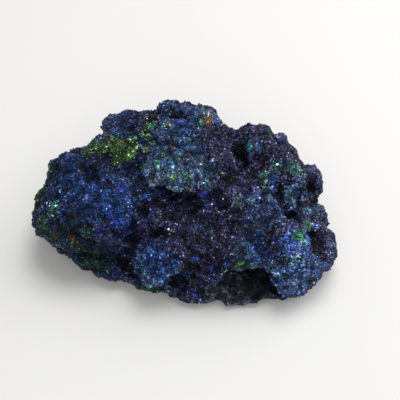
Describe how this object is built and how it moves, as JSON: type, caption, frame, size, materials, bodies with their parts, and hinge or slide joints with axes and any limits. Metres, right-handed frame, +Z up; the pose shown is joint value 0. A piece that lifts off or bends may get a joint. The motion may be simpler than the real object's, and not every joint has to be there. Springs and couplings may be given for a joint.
{
  "type": "azurite specimen",
  "caption": "Loose lump of crusty azurite with malachite: knobbly boulder-like masses, a slab over a recess, clefts and a low cave in its front, resting on a levelled underside.",
  "frame": {"origin": "middle of the box around the lump, on the surface it rests on", "axes": "+X along the longest extent, -Y towards the side with the cave, +Z up"},
  "size_m": [0.107, 0.073, 0.0413],
  "materials": {
    "azurite": "dark blue to violet-black druse of fine crystals, with blue and green crusts"
  },
  "bodies": {
    "root": {"azurite_specimen": "azurite"}
  },
  "joints": []
}
